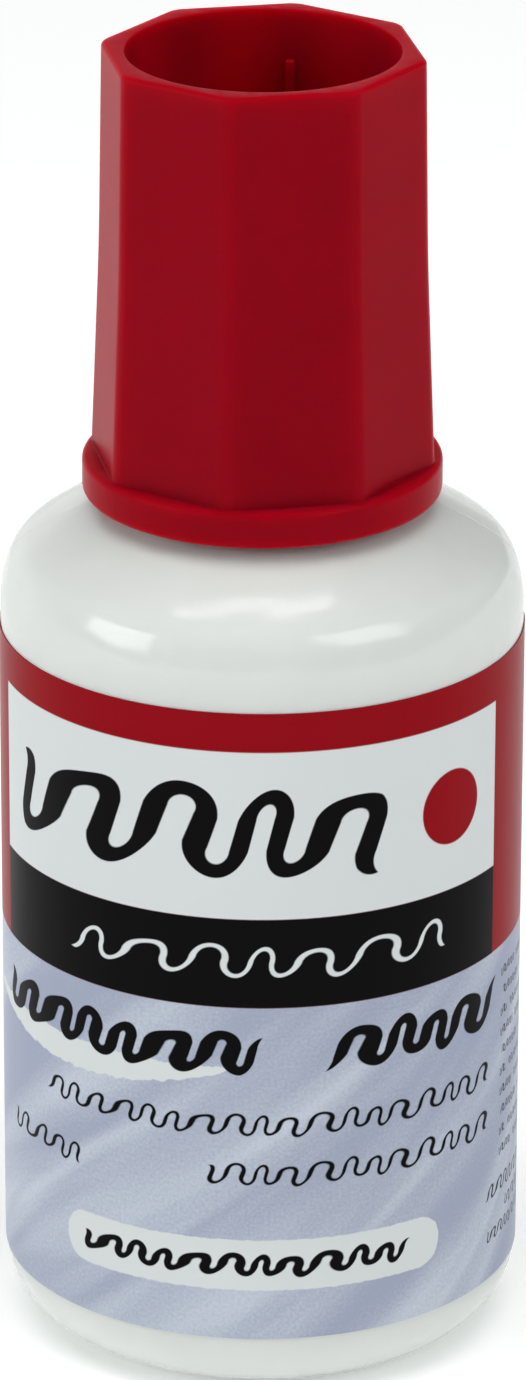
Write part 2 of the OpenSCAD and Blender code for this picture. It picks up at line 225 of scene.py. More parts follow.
def thread_ridge(name, wall_r, crest_r, width, turns, start_z, pitch=3.0):
    """A single-start ridge, a trapezoid in mm that climbs by the pitch and fades out at both ends."""
    sunk, fade, lowest, steps_a_turn = 0.35, 0.12, 0.02, 48
    root_r = wall_r - math.copysign(sunk, crest_r - wall_r)
    bpy.ops.object.select_all(action="DESELECT")
    bpy.ops.mesh.primitive_plane_add(size=0.001, rotation=(math.pi / 2, 0, 0))
    obj = bpy.context.object
    obj.name = obj.data.name = name
    bpy.ops.object.transform_apply(location=True, rotation=True, scale=True)
    bpy.ops.object.mode_set(mode="EDIT")
    bpy.ops.mesh.select_all(action="SELECT")
    bpy.ops.transform.resize(value=(abs(crest_r - root_r), 1, width))
    bpy.ops.transform.translate(value=((root_r + crest_r) / 2000, 0, start_z / 1000))
    mesh = bmesh.from_edit_mesh(obj.data)
    for vert in mesh.verts:
        vert.select = abs(vert.co.x - crest_r / 1000) < 0.00001
    bmesh.update_edit_mesh(obj.data)
    bpy.ops.transform.resize(value=(1, 1, 0.5))
    bpy.ops.mesh.select_all(action="SELECT")
    bpy.ops.mesh.delete(type="ONLY_FACE")
    bpy.ops.object.mode_set(mode="OBJECT")
    screw = obj.modifiers.new("screw", "SCREW")
    screw.axis = "Z"
    screw.angle = 2 * math.pi * turns
    screw.screw_offset = pitch * turns / 1000
    screw.steps = screw.render_steps = round(steps_a_turn * turns)
    bpy.ops.object.modifier_apply(modifier="screw")
    for vert in obj.data.vertices:
        part_turn = (math.atan2(vert.co.y, vert.co.x) / (2 * math.pi)) % 1
        climb = (vert.co.z * 1000 - start_z) / pitch
        gone = round(climb - part_turn) + part_turn
        rise = min(1, max(lowest, gone / fade), max(lowest, (turns - gone) / fade))
        r = vert.co.xy.length
        new_r = root_r / 1000 + (r - root_r / 1000) * (rise ** 0.5)
        vert.co.x *= new_r / r
        vert.co.y *= new_r / r
    bpy.ops.object.mode_set(mode="EDIT")
    bpy.ops.mesh.select_all(action="SELECT")
    bpy.ops.mesh.fill_holes(sides=4)
    bpy.ops.object.mode_set(mode="OBJECT")
    return finish_shape(obj)


# Sizes in mm. The outline is a chain of arcs, so most have a radius and a centre (r, z), and meet the
# next one at an angle in degrees above the level.
bottle_r, side_top, wall = 16.0, 46.9, 1.0
heel_r, shoulder_r, edge_r, dome_r, neck_fillet, rim_round = 4.7, 8.2, 3.0, 27.0, 1.0, 0.4
neck_r, bore_r, rim_z, neck_foot_z, bore_foot_z = 7.1, 5.6, 67.343, 55.471, 54.903
push_z, push_arc = -37.0, 38.2
heel = (bottle_r - heel_r, heel_r)
shoulder = (bottle_r - shoulder_r, side_top)
edge, dome = (12.686, 48.678), (-1.080, 29.018)
at_edge, at_dome, at_neck, at_bore, at_push, at_push_inside = 20, 55, 70.86, 73.47, 75.6, 75.77
bottle_outline = (
    arc(0, push_z, push_arc, 90, at_push, 10)
    + arc(*heel, heel_r, -90, 0, 12)
    + arc(*shoulder, shoulder_r, 0, at_edge, 6)
    + arc(*edge, edge_r, at_edge, at_dome, 8)[1:]
    + arc(*dome, dome_r, at_dome, at_neck, 10)[1:]
    + arc(neck_r + neck_fillet, neck_foot_z, neck_fillet, 180 + at_neck, 180, 8)[1:]
    + arc(neck_r - rim_round, rim_z - rim_round, rim_round, 0, 90, 6)
    + arc(bore_r + rim_round, rim_z - rim_round, rim_round, 90, 180, 6)
    + arc(bore_r + neck_fillet, bore_foot_z, neck_fillet, 180, 180 + at_bore, 8)
    + arc(*dome, dome_r - wall, at_bore, at_dome, 10)[1:]
    + arc(*edge, edge_r - wall, at_dome, at_edge, 8)[1:]
    + arc(*shoulder, shoulder_r - wall, at_edge, 0, 6)[1:]
    + arc(*heel, heel_r - wall, 0, -90, 12)
    + arc(0, push_z, push_arc + wall, at_push_inside, 90, 10)
)
bottle = turned("bottle_body", bottle_outline, 192)
ridge = thread_ridge(
    "neck_ridge", wall_r=neck_r, crest_r=neck_r + 0.9, width=1.26, turns=1.5, start_z=60.043
)
combine(bottle, ridge)

# The weld, a bar that follows the push-up's arc and stands 0.3 mm proud of it
weld_length, weld_width, weld_sunk = 12, 0.8, 0.1
bpy.ops.object.select_all(action="DESELECT")
bpy.ops.mesh.primitive_cube_add(size=0.001)
weld = bpy.context.object
bpy.ops.object.mode_set(mode="EDIT")
bpy.ops.transform.resize(value=(weld_length, weld_width, weld_width))
bpy.ops.mesh.subdivide(number_cuts=12)
bpy.ops.object.mode_set(mode="OBJECT")
for vert in weld.data.vertices:
    base_z = math.sqrt(push_arc ** 2 - (vert.co.x * 1000) ** 2) + push_z
    vert.co.z += (base_z + weld_sunk) / 1000
combine(bottle, finish_shape(weld))
finish_shape(bottle)

# Polyethylene, blow-moulded and glossy: milky and faintly green, with light that sinks in a few
# millimetres, a slow unevenness of the blown wall, and the fine parting line in the plane of the weld
bottle_plastic, tree, place = new_finish("blown_polyethylene")
axes = add(tree, "ShaderNodeSeparateXYZ", [place])
waves = add(tree, "ShaderNodeTexNoise", {"Vector": place, "Scale": 150.0, "Detail": 1.5})
skin = add(tree, "ShaderNodeTexNoise", {"Vector": place, "Scale": 2500.0, "Detail": 2.0})
off_plane = add(tree, "ShaderNodeMath", [axes.outputs["Y"]], operation="ABSOLUTE")
parting = add(tree, "ShaderNodeMapRange", {
    "Value": off_plane, "From Min": 0.00005, "From Max": 0.00022, "To Min": 1.0, "To Max": 0.0,
}, interpolation_type="SMOOTHSTEP")
slow = add(tree, "ShaderNodeBump", {"Strength": 0.36, "Distance": 0.001, "Height": waves})
line = add(tree, "ShaderNodeBump", {
    "Strength": 0.25, "Distance": 0.00005, "Height": parting, "Normal": slow,
})
fine = add(tree, "ShaderNodeBump", {
    "Strength": 0.08, "Distance": 0.00004, "Height": skin, "Normal": line,
})
milk = add(tree, "ShaderNodeMix", {
    share_of: waves, first: linear("#d5dad5"), second: linear("#dbdfdb"),
}, data_type="RGBA")
shell = add(tree, "ShaderNodeBsdfPrincipled", {
    "Base Color": milk.outputs[mixed],
    "Roughness": 0.155,
    "IOR": 1.53,
    "Subsurface Weight": 0.4,
    "Subsurface Radius": (1.0, 0.95, 0.9),
    "Subsurface Scale": 0.004,
    "Normal": fine,
})
lay_on(bottle, bottle_plastic, shell)
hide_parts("bottle")
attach(bottle, "flask")


# Label, a printed and varnished film less than 0.1 mm thick that is wrapped once round the straight
# side, with its two ends a little apart at the back. The print is laid out in mm round the bottle.
label_in, label_out, label_foot, label_top, seam_gap = 16.01, 16.075, 4.6, 45.9, 0.8
label_rows, label_steps = 12, 188
seam = math.degrees(seam_gap / label_in)
bpy.ops.object.select_all(action="DESELECT")
bpy.ops.mesh.primitive_plane_add(size=0.001)
label = bpy.context.object
label.name = label.data.name = "label_film"
bpy.ops.object.mode_set(mode="EDIT")
bpy.ops.mesh.merge(type="CENTER")
start = math.radians(90 + seam / 2)
bpy.ops.transform.translate(
    value=(label_in / 1000 * math.cos(start), label_in / 1000 * math.sin(start), label_foot / 1000)
)
row_height = (label_top - label_foot) / label_rows / 1000
for i in range(label_rows):
    bpy.ops.mesh.extrude_vertices_move(TRANSFORM_OT_translate={"value": (0, 0, row_height)})
bpy.ops.mesh.select_all(action="SELECT")
bpy.ops.mesh.spin(
    steps=label_steps, angle=math.radians(360 - seam), center=(0, 0, 0), axis=(0, 0, 1)
)
bpy.ops.mesh.normals_make_consistent(inside=False)
bpy.ops.object.mode_set(mode="OBJECT")
film = label.modifiers.new("film", "SOLIDIFY")
film.thickness = (label_out - label_in) / 1000
any_face = label.data.polygons[0]
film.offset = 1 if any_face.normal @ any_face.center.xy.to_3d() > 0 else -1
bpy.ops.object.modifier_apply(modifier="film")
finish_shape(label, 40)

# Printed polypropylene film: solid inks under a thin silky varnish, with crisp edges as in offset
# print. The pattern runs in mm: around from the front to the right, and upright from the foot.
label_print, tree, place = new_finish("printed_film")
axes = add(tree, "ShaderNodeSeparateXYZ", [place])
front = add(tree, "ShaderNodeMath", [axes.outputs["Y"], -1.0], operation="MULTIPLY")
bearing = add(tree, "ShaderNodeMath", [axes.outputs["X"], front], operation="ARCTAN2")
around = add(tree, "ShaderNodeMath", [bearing, label_out], operation="MULTIPLY")
upright = add(tree, "ShaderNodeMath", [axes.outputs["Z"], 1000.0], operation="MULTIPLY")
sheet = add(tree, "ShaderNodeCombineXYZ", [around, upright])
rough_edge = add(tree, "ShaderNodeTexNoise", {"Vector": sheet, "Scale": 1.4, "Detail": 4.0})
dry_edge = add(tree, "ShaderNodeMapRange", {"Value": rough_edge, "To Min": -1.0, "To Max": 1.0})


def patch(left, right, low, high, corner=0.0, ragged=0.0):
    """Distance outside a rounded field of the print, whose edge may be as ragged as a brushed one."""
    gaps = []
    for value, start, end in ((around, left, right), (upright, low, high)):
        off = add(tree, "ShaderNodeMath", [value, (start + end) / 2], operation="SUBTRACT")
        off = add(tree, "ShaderNodeMath", [off], operation="ABSOLUTE")
        off = add(tree, "ShaderNodeMath", [off, (end - start) / 2 - corner], operation="SUBTRACT")
        gaps.append(off)
    if corner == 0:
        distance = add(tree, "ShaderNodeMath", gaps, operation="MAXIMUM")
    else:
        outside = [add(tree, "ShaderNodeMath", [g, 0.0], operation="MAXIMUM") for g in gaps]
        corner_way = add(tree, "ShaderNodeCombineXYZ", outside)
        reach = add(tree, "ShaderNodeVectorMath", [corner_way], operation="LENGTH")
        distance = add(tree, "ShaderNodeMath", [reach.outputs["Value"], corner], operation="SUBTRACT")
    if ragged:
        distance = add(tree, "ShaderNodeMath", [dry_edge, ragged, distance], operation="MULTIPLY_ADD")
    return distance


def pen_line(left, right, level, swing, length, stroke, up=upright):
    """Distance outside a slanting pen line of uneven round loops, thick in the stems, thin at its ends.

    The wobbles give how often the hand wanders in a length, and how far it goes up and along.
    """
    slant, wobbles = 0.34, ((1.7, 0.14, 0.12), (4.3, -0.12, 0.05))
    thinner_stem, fade, hairline = 0.2, 1.2, 0.06
    loop = length / 4
    left, right = (round(x / (2 * loop)) * 2 * loop for x in (left, right))
    off = add(tree, "ShaderNodeMath", [up, level], operation="SUBTRACT")
    along = add(tree, "ShaderNodeMath", [off, -slant, around], operation="MULTIPLY_ADD")
    for beats, rise, shift in wobbles:
        wander = add(tree, "ShaderNodeMath", [around, beats / length], operation="MULTIPLY")
        wander = add(tree, "ShaderNodeMath", [wander], operation="SINE")
        off = add(tree, "ShaderNodeMath", [wander, swing * rise, off], operation="MULTIPLY_ADD")
        along = add(tree, "ShaderNodeMath", [wander, length * shift, along], operation="MULTIPLY_ADD")
    beat = add(tree, "ShaderNodeMath", [along, 2 * loop], operation="PINGPONG")
    beat = add(tree, "ShaderNodeMath", [beat, loop], operation="SUBTRACT")
    side = add(tree, "ShaderNodeMath", [off], operation="SIGN")
    beat = add(tree, "ShaderNodeMath", [beat, side, loop], operation="MULTIPLY_ADD")
    past = add(tree, "ShaderNodeMath", [off], operation="ABSOLUTE")
    past = add(tree, "ShaderNodeMath", [past, max(swing - loop, 0)], operation="SUBTRACT")
    past = add(tree, "ShaderNodeMath", [past, 0.0], operation="MAXIMUM")
    from_middle = add(tree, "ShaderNodeCombineXYZ", [beat, past])
    reach = add(tree, "ShaderNodeVectorMath", [from_middle], operation="LENGTH")
    reach = add(tree, "ShaderNodeMath", [reach.outputs["Value"], loop], operation="SUBTRACT")
    reach = add(tree, "ShaderNodeMath", [reach], operation="ABSOLUTE")
    thinning = thinner_stem * stroke / loop
    reach = add(tree, "ShaderNodeMath", [past, thinning, reach], operation="MULTIPLY_ADD")
    inside = add(tree, "ShaderNodeMath", [along, (left + right) / 2], operation="SUBTRACT")
    inside = add(tree, "ShaderNodeMath", [inside], operation="ABSOLUTE")
    half = (right - left) / 2
    taper = add(tree, "ShaderNodeMapRange", {
        "Value": inside,
        "From Min": half - fade * stroke, "From Max": half, "To Min": 1.0, "To Max": 0.0,
    })
    taper = add(tree, "ShaderNodeMath", [taper, 0.5], operation="POWER")
    half_stroke = [taper, -stroke / 2 - hairline, hairline]
    taper = add(tree, "ShaderNodeMath", half_stroke, operation="MULTIPLY_ADD")
    return add(tree, "ShaderNodeMath", [reach, taper], operation="ADD")


ink_black, ink_red, ink_white = linear("#0b0a0b"), linear("#8c0815"), linear("#d1d6d6")

# The ground, lavender with pale streaks that lean to the left and break up in a fine raster
leaning = add(tree, "ShaderNodeVectorRotate", {
    "Vector": sheet, "Angle": math.radians(-38),
}, rotation_type="Z_AXIS")
drawn_out = add(tree, "ShaderNodeMapping", {"Vector": leaning, "Scale": (0.03, 0.2, 1.0)})
streaks = add(tree, "ShaderNodeTexNoise", {
    "Vector": drawn_out, "Scale": 1.0, "Detail": 2.5, "Distortion": 0.4,
})
raster = add(tree, "ShaderNodeTexNoise", {"Vector": sheet, "Scale": 5.0, "Detail": 1.0})
raster = add(tree, "ShaderNodeMath", [raster, 0.22, streaks], operation="MULTIPLY_ADD")
veil = add(tree, "ShaderNodeMapRange", {
    "Value": raster, "From Min": 0.46, "From Max": 0.82,
}, interpolation_type="SMOOTHSTEP")
cover = add(tree, "ShaderNodeMix", {
    share_of: veil, first: linear("#9da4b8"), second: linear("#c2cad4"),
}, data_type="RGBA").outputs[mixed]

# Small print: rows of tiny loops with spaces as between words, each row shifted from the last
row_pitch, row_shift, word_length, space_width, print_top = 1.35, 1.37, 2.1, 0.32, 25.65
row = add(tree, "ShaderNodeMath", [upright, row_pitch], operation="MODULO")
row = add(tree, "ShaderNodeMath", [row, row_pitch / 2], operation="SUBTRACT")
line_number = add(tree, "ShaderNodeMath", [upright, row_pitch], operation="DIVIDE")
line_number = add(tree, "ShaderNodeMath", [line_number], operation="FLOOR")
word = add(tree, "ShaderNodeMath", [line_number, row_shift, around], operation="MULTIPLY_ADD")
word = add(tree, "ShaderNodeMath", [word, word_length], operation="PINGPONG")
space = add(tree, "ShaderNodeMath", [space_width, word], operation="SUBTRACT")
small_print = []
for left, right, low in ((18.7, 47.5, 12.15), (-47.5, -24.5, 6.75)):
    writing = pen_line(left, right, level=0.0, swing=0.24, length=0.62, stroke=0.15, up=row)
    writing = add(tree, "ShaderNodeMath", [writing, space], operation="MAXIMUM")
    limit = patch(left, right, low, print_top)
    small_print.append(add(tree, "ShaderNodeMath", [writing, limit], operation="MAXIMUM"))

# A dab of white as from the brush: a bowed stroke that is thickest in its middle
dab_left, dab_level, dab_half, dab_bow, dab_taper, dab_ragged = 12.5, 21.8, 0.95, 0.008, 0.0075, 0.3
aside = add(tree, "ShaderNodeMath", [around, dab_left], operation="ADD")
aside = add(tree, "ShaderNodeMath", [aside, aside], operation="MULTIPLY")
dab = add(tree, "ShaderNodeMath", [aside, -dab_bow, upright], operation="MULTIPLY_ADD")
dab = add(tree, "ShaderNodeMath", [dab, dab_level], operation="SUBTRACT")
dab = add(tree, "ShaderNodeMath", [dab], operation="ABSOLUTE")
dab = add(tree, "ShaderNodeMath", [aside, dab_taper, dab], operation="MULTIPLY_ADD")
dab = add(tree, "ShaderNodeMath", [dry_edge, dab_ragged, dab], operation="MULTIPLY_ADD")
dab = add(tree, "ShaderNodeMath", [dab, dab_half], operation="SUBTRACT")

# The inks, one over the other. In mm, a patch has its left, right, lower and upper edge, its corner
# and how ragged it is. A pen line has its left and right end, level, swing, length of wave and stroke.
ink_blur = 0.05
layers = [
    (dab, ink_white),
    (pen_line(-19.6, 0.6, 23.7, 1.15, 2.9, 1.0), ink_black),
    (pen_line(4.2, 17.2, 23.7, 1.15, 2.9, 1.0), ink_black),
    (pen_line(-15.2, 17.2, 19.0, 0.62, 1.8, 0.3), ink_black),
    (pen_line(-3.4, 17.2, 15.7, 0.62, 1.8, 0.3), ink_black),
    (pen_line(-19.4, -12.0, 15.0, 0.62, 1.8, 0.3), ink_black),
    (patch(-13.3, 12.0, 7.9, 11.3, 1.6, 0.12), ink_white),
    (pen_line(-11.6, 10.4, 9.6, 0.6, 2.0, 0.62), ink_black),
    (small_print[0], ink_black),
    (small_print[1], ink_black),
    (pen_line(17.0, 27.4, 10.5, 0.45, 1.1, 0.2), ink_black),
    (pen_line(19.6, 33.0, 8.95, 0.36, 0.9, 0.17), ink_black),
    (pen_line(17.2, 30.2, 7.5, 0.36, 0.9, 0.17), ink_black),
    (patch(-60, 60, 26.8, 50), ink_red),
    (patch(-20.6, 17.25, 32.6, 43.42), ink_white),
    (patch(-20.6, 17.25, 26.8, 32.6), ink_black),
    (patch(10.4, 15.2, 35.6, 40.4, 2.4), ink_red),
    (pen_line(-17.0, 7.6, 38.1, 2.5, 6.0, 1.5), ink_black),
    (pen_line(-13.0, 12.5, 29.8, 0.85, 3.6, 0.42), ink_white),
]
for distance, colour in layers:
    ink = add(tree, "ShaderNodeMapRange", {
        "Value": distance, "From Min": -ink_blur, "From Max": ink_blur, "To Min": 1.0, "To Max": 0.0,
    }, interpolation_type="SMOOTHSTEP")
    cover = add(tree, "ShaderNodeMix", {
        share_of: ink, first: cover, second: colour,
    }, data_type="RGBA").outputs[mixed]
film_waves = add(tree, "ShaderNodeTexNoise", {"Vector": place, "Scale": 160.0, "Detail": 1.0})
ripple = add(tree, "ShaderNodeBump", {"Strength": 0.15, "Distance": 0.0004, "Height": film_waves})
varnish = add(tree, "ShaderNodeBsdfPrincipled", {
    "Base Color": cover,
    "Roughness": 0.3,
    "IOR": 1.49,
    "Specular IOR Level": 0.035,
    "Normal": ripple,
})
lay_on(label, label_print, varnish)
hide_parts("label")
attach(label, "flask")


# Cap, moulded in one piece from red polypropylene: an eight-sided grip that is open at the top, over
# a round flange, with the threaded socket and the hub of the brush below the floor of the cup.

# Heights in mm: under and over the flange, ceiling of the socket, floor of the cup, rim, end of hub
cap_z, foot_z, ceiling_z, floor_z, top_z, hub_z = 54.343, 56.643, 68.343, 69.543, 82.043, 62.743
mid_flat, lean_in, lean_out, ease = 9.40, 0.185, 0.485, 2.5
corner_round, lip, foot_fillet, grip_turn = 1.3, 0.3, 0.1, -11.6
flange_mid, flange_round = 10.55, 0.4
cup_r, cup_draft, cup_edge, cup_corner = 8.275, 0.109, 0.1, 0.8
mouth_r, mouth_h, socket_r, hub_r, hub_bore, hub_edge = 9.3, 1.6, 8.25, 3.0, 1.75, 0.1


def flat_at(z):
    """Distance in mm from the axis to a flat of the grip, which bends level with the cup's floor."""
    up, down = lean_in / (top_z - floor_z), lean_out / (floor_z - foot_z)
    drop = floor_z - z
    bend = drop if drop > ease else 0 if drop < -ease else (drop + ease) ** 2 / (4 * ease)
    return mid_flat + up * drop + (down - up) * bend


def climb_through(rings):
    """Extrudes the selected ring through sizes in mm: distance to its sides, height, if round."""
    for size, z, made_round in rings:
        mesh = bmesh.from_edit_mesh(bpy.context.edit_object.data)
        level = next(v.co.z for v in mesh.verts if v.select)
        bpy.ops.mesh.extrude_edges_move(TRANSFORM_OT_translate={"value": (0, 0, z / 1000 - level)})
        if made_round:
            bpy.ops.transform.tosphere(value=1.0)
        mesh = bmesh.from_edit_mesh(bpy.context.edit_object.data)
        now = min(v.co.xy.length for v in mesh.verts if v.select)
        growth = size / 1000 / now
        bpy.ops.transform.resize(value=(growth, growth, 1))


bpy.ops.object.select_all(action="DESELECT")
foot_flat = flat_at(foot_z)
first_corner = (foot_flat + foot_fillet) / math.cos(math.pi / 8)
bpy.ops.mesh.primitive_circle_add(
    vertices=8,
    radius=first_corner / 1000,
    location=(0, 0, foot_z / 1000),
    rotation=(0, 0, math.radians(grip_turn)),
)
cap = bpy.context.object
cap.name = cap.data.name = "cap_grip"
bpy.ops.object.transform_apply(location=True, rotation=True, scale=True)
bpy.ops.object.mode_set(mode="EDIT")
bpy.ops.mesh.select_all(action="SELECT")
cut_back = corner_round * math.tan(math.pi / 8) / 1000
bpy.ops.mesh.bevel(offset=cut_back, segments=6, affect="VERTICES", offset_type="OFFSET")

# The eight flats, the only long edges, are cut up so that the ring can turn smoothly into a round
longest_in_corner = 0.003
bpy.ops.mesh.select_all(action="DESELECT")
bpy.ops.mesh.select_mode(type="EDGE")
mesh = bmesh.from_edit_mesh(cap.data)
for side in mesh.edges:
    side.select = side.calc_length() > longest_in_corner
bmesh.update_edit_mesh(cap.data)
bpy.ops.mesh.subdivide(number_cuts=9)
bpy.ops.mesh.select_all(action="SELECT")

# Up the outside, over the rim and down the cup to the middle of its floor
grip_heights = (2, 5, 8, 10, 11.2, 12.4, 13.6, 14.8, 16, 18, 21)
cup_top, cup_foot = top_z - cup_edge, floor_z + cup_corner
outside = [
    (foot_flat + foot_fillet * (1 - math.sin(t)), foot_z + foot_fillet * (1 - math.cos(t)))
    for t in (math.pi / 6, math.pi / 3, math.pi / 2)
]
outside += [(flat_at(foot_z + h), foot_z + h) for h in grip_heights]
outside += [
    (flat_at(top_z) - lip * (1 - math.cos(t)), top_z - lip * (1 - math.sin(t)))
    for t in (0, 0.39, 0.79, 1.18, math.pi / 2)
]
cup = arc(cup_r + cup_edge, cup_top, cup_edge, 90, 180, 4)
cup += [(cup_r - cup_draft * i / 8, cup_top - (cup_top - cup_foot) * i / 8) for i in range(1, 8)]
cup += arc(cup_r - cup_draft - cup_corner, cup_foot, cup_corner, 0, -90, 5)
cup += [(hub_r, floor_z), (0.0, floor_z)]
climb_through([(flat, z, False) for flat, z in outside] + [(r, z, True) for r, z in cup])
bpy.ops.mesh.select_all(action="SELECT")
bpy.ops.mesh.remove_doubles(threshold=0.000002)
bpy.ops.mesh.select_all(action="DESELECT")
mesh = bmesh.from_edit_mesh(cap.data)
for side in mesh.edges:
    side.select = side.is_boundary
bmesh.update_edit_mesh(cap.data)

# Down round the flange and up the socket, then down and up the hub to the end of its bore
underside = arc(flange_mid, foot_z - flange_round, flange_round, 61, 0, 5)
underside += arc(flange_mid, cap_z + flange_round, flange_round, 0, -90, 5)
underside += [(mouth_r, cap_z), (mouth_r, cap_z + mouth_h)]
underside += [(socket_r, cap_z + mouth_h + mouth_r - socket_r), (socket_r, ceiling_z)]
underside += [(hub_r, ceiling_z), (hub_r, hub_z + hub_edge), (hub_r - hub_edge, hub_z)]
underside += [(hub_bore + hub_edge, hub_z), (hub_bore, hub_z + hub_edge)]
underside += [(hub_bore, ceiling_z), (0.0, ceiling_z)]
climb_through([(r, z, True) for r, z in underside])
bpy.ops.mesh.select_mode(type="VERT")
bpy.ops.object.mode_set(mode="OBJECT")
finish_shape(cap)

# Four slim ribs up the cup's wall, sunk a little in the wall and the floor
rib_in, rib_out, rib_width, rib_edge = 7.766, 8.6, 0.55, 0.12
rib_foot, rib_top = floor_z - 0.05, top_z - 3.1
for k in range(4):
    way = math.radians(grip_turn - 90 + 90 * k)
    middle = (rib_in + rib_out) / 2000
    bpy.ops.object.select_all(action="DESELECT")
    bpy.ops.mesh.primitive_cube_add(
        size=0.001,
        location=(middle * math.cos(way), middle * math.sin(way), (rib_foot + rib_top) / 2000),
        rotation=(0, 0, way),
    )
    rib = bpy.context.object
    rib.scale = (rib_out - rib_in, rib_width, rib_top - rib_foot)
    bpy.ops.object.transform_apply(location=True, rotation=True, scale=True)
    bpy.ops.object.mode_set(mode="EDIT")
    bpy.ops.mesh.select_all(action="SELECT")
    bpy.ops.mesh.bevel(offset=rib_edge / 1000, segments=3, affect="EDGES")
    bpy.ops.object.mode_set(mode="OBJECT")
    combine(cap, finish_shape(rib))
ridge = thread_ridge(
    "socket_ridge", wall_r=socket_r, crest_r=socket_r - 0.9, width=1.14, turns=1.25, start_z=58.95
)
combine(cap, ridge)
finish_shape(cap)
flats = cap.modifiers.new("flats", "WEIGHTED_NORMAL")
flats.keep_sharp = True
bpy.ops.object.modifier_apply(modifier="flats")

# Polypropylene, injection-moulded and pigmented deep red: a satin mould finish with a very fine
# spark-eroded grain, edges that glow as red light passes through them, and faint sink marks
cap_plastic, tree, place = new_finish("moulded_polypropylene")
skin = add(tree, "ShaderNodeTexNoise", {"Vector": place, "Scale": 6000.0, "Detail": 2.0})
sink = add(tree, "ShaderNodeTexNoise", {"Vector": place, "Scale": 140.0, "Detail": 1.0})
slow = add(tree, "ShaderNodeBump", {"Strength": 0.12, "Distance": 0.0004, "Height": sink})
fine = add(tree, "ShaderNodeBump", {
    "Strength": 0.12, "Distance": 0.00003, "Height": skin, "Normal": slow,
})
pigment = add(tree, "ShaderNodeMix", {
    share_of: sink, first: linear("#890414"), second: linear("#910518"),
}, data_type="RGBA")
polish = add(tree, "ShaderNodeMapRange", {"Value": skin, "To Min": 0.27, "To Max": 0.35})
moulded = add(tree, "ShaderNodeBsdfPrincipled", {
    "Base Color": pigment.outputs[mixed],
    "Roughness": polish,
    "IOR": 1.49,
    "Specular IOR Level": 0.022,
    "Subsurface Weight": 1.0,
    "Subsurface Radius": (1.0, 0.04, 0.06),
    "Subsurface Scale": 0.004,
    "Normal": fine,
})
lay_on(cap, cap_plastic, moulded)
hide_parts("cap")
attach(cap, "cap")


# Sealing ring, punched from foamed polyethylene sheet. It is pressed between the neck's rim and the
# ceiling of the socket, and stays on the rim when the cap comes off.
liner_out, liner_in, liner_h, liner_round = 7.2, 4.6, 1.0, 0.15
out_r, in_r = liner_out - liner_round, liner_in + liner_round
low_z, high_z = rim_z + liner_round, rim_z + liner_h - liner_round
liner = turned("liner_ring", (
    arc(out_r, low_z, liner_round, -90, 0, 4)
    + arc(out_r, high_z, liner_round, 0, 90, 4)
    + arc(in_r, high_z, liner_round, 90, 180, 4)
    + arc(in_r, low_z, liner_round, 180, 270, 4)
    + [(out_r, rim_z)]
), 96)

# Closed-cell polyethylene foam: matt white, with cells of about 0.2 mm cut open at the surface
liner_foam, tree, place = new_finish("closed_cell_foam")
cells = add(tree, "ShaderNodeTexVoronoi", {"Vector": place, "Scale": 5000.0})
cell_bump = add(tree, "ShaderNodeBump", {"Strength": 0.5, "Distance": 0.00006, "Height": cells})
# Painted shade: the colour is darker in the middle of each cell, where the bump makes its pit
tone = add(tree, "ShaderNodeMix", {
    share_of: cells, first: linear("#dcdcd6"), second: linear("#f1f1ec"),
}, data_type="RGBA")
foam = add(tree, "ShaderNodeBsdfPrincipled", {
    "Base Color": tone.outputs[mixed], "Roughness": 0.75, "IOR": 1.5, "Normal": cell_bump,
})
lay_on(liner, liner_foam, foam)
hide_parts("seal_liner")
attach(liner, "liner")


# Brush stem, moulded from natural polyethylene: a long rod with a collar and shank that snap into the
# cap's hub, and a thicker end with the blind hole that holds the tuft.
tuft_hole = [(0, 21.6), (1.12, 21.6), (1.12, 18.15), (1.22, 18.0)]
thick_end = arc(1.6, 18.3, 0.3, -90, 0, 5) + arc(1.75, 23.95, 0.15, 0, 45, 3)
long_rod = [(1.5, 25.2), (1.5, 61.1)]
collar = arc(2.3, 61.72, 0.2, -60, 0, 4) + arc(2.4, 62.623, 0.1, 0, 90, 4)
shank = [(1.7, 62.723), (1.7, 67.84)] + arc(1.4, 67.84, 0.3, 0, 90, 5) + [(0, 68.14)]
stem = turned("brush_rod", tuft_hole + thick_end + long_rod + collar + shank, 48)

# Natural polyethylene: waxy and cloudy, so light passes a little way into the rod
stem_plastic, tree, place = new_finish("natural_polyethylene")
cloud = add(tree, "ShaderNodeTexNoise", {"Vector": place, "Scale": 400.0, "Detail": 2.0})
tone = add(tree, "ShaderNodeMix", {
    share_of: cloud, first: linear("#dfe0da"), second: linear("#eeeee9"),
}, data_type="RGBA")
wax = add(tree, "ShaderNodeBump", {"Strength": 0.2, "Distance": 0.00006, "Height": cloud})
rod = add(tree, "ShaderNodeBsdfPrincipled", {
    "Base Color": tone.outputs[mixed],
    "Roughness": 0.35,
    "IOR": 1.52,
    "Subsurface Weight": 0.5,
    "Subsurface Radius": (1.0, 0.95, 0.85),
    "Subsurface Scale": 0.002,
    "Normal": wax,
})
lay_on(stem, stem_plastic, rod)
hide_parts("brush_stem")
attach(stem, "brush")


# Tuft: some 260 straight nylon filaments of 0.12 mm, folded over the anchor and driven into the
# stem's hole. They spread into a belly below it and are trimmed to a rounded tip.
root_z, mouth_z, belly_z, tip_z = 21.5, 18.0, 11.7, 6.5
strand_count, strand_r, point = 260, 0.06, 0.35

